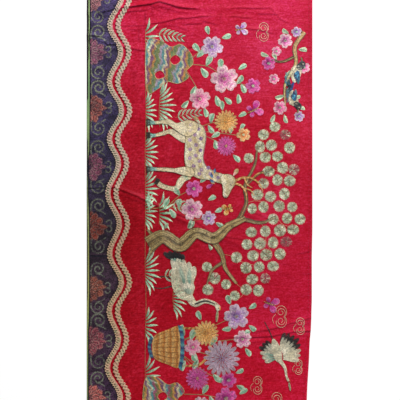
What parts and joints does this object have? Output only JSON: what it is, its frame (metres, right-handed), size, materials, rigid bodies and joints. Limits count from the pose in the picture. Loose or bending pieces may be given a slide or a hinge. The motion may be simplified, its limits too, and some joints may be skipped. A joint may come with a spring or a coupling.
{
  "type": "embroidered silk panel",
  "caption": "Long embroidered silk panel with a wavy brocade border, braid and an edge binding, lying face up in soft folds.",
  "frame": {"origin": "middle of the underside, on the surface that the panel lies on", "axes": "+Y along the panel's length, +X from the bordered hem to the plain hem, +Z out of the embroidered face"},
  "size_m": [0.517, 1, 0.0086],
  "materials": {
    "ground_silk": "woven silk with a soft sheen, embroidered",
    "binding_silk": "plain woven silk",
    "brocade": "figured silk brocade",
    "braid": "woven gimp braid"
  },
  "bodies": {
    "root": {"ground_panel": "ground_silk", "edge_binding": "binding_silk", "brocade_upper": "brocade", "brocade_lower": "brocade", "braid_inner": "braid", "braid_outer": "braid"}
  },
  "joints": []
}
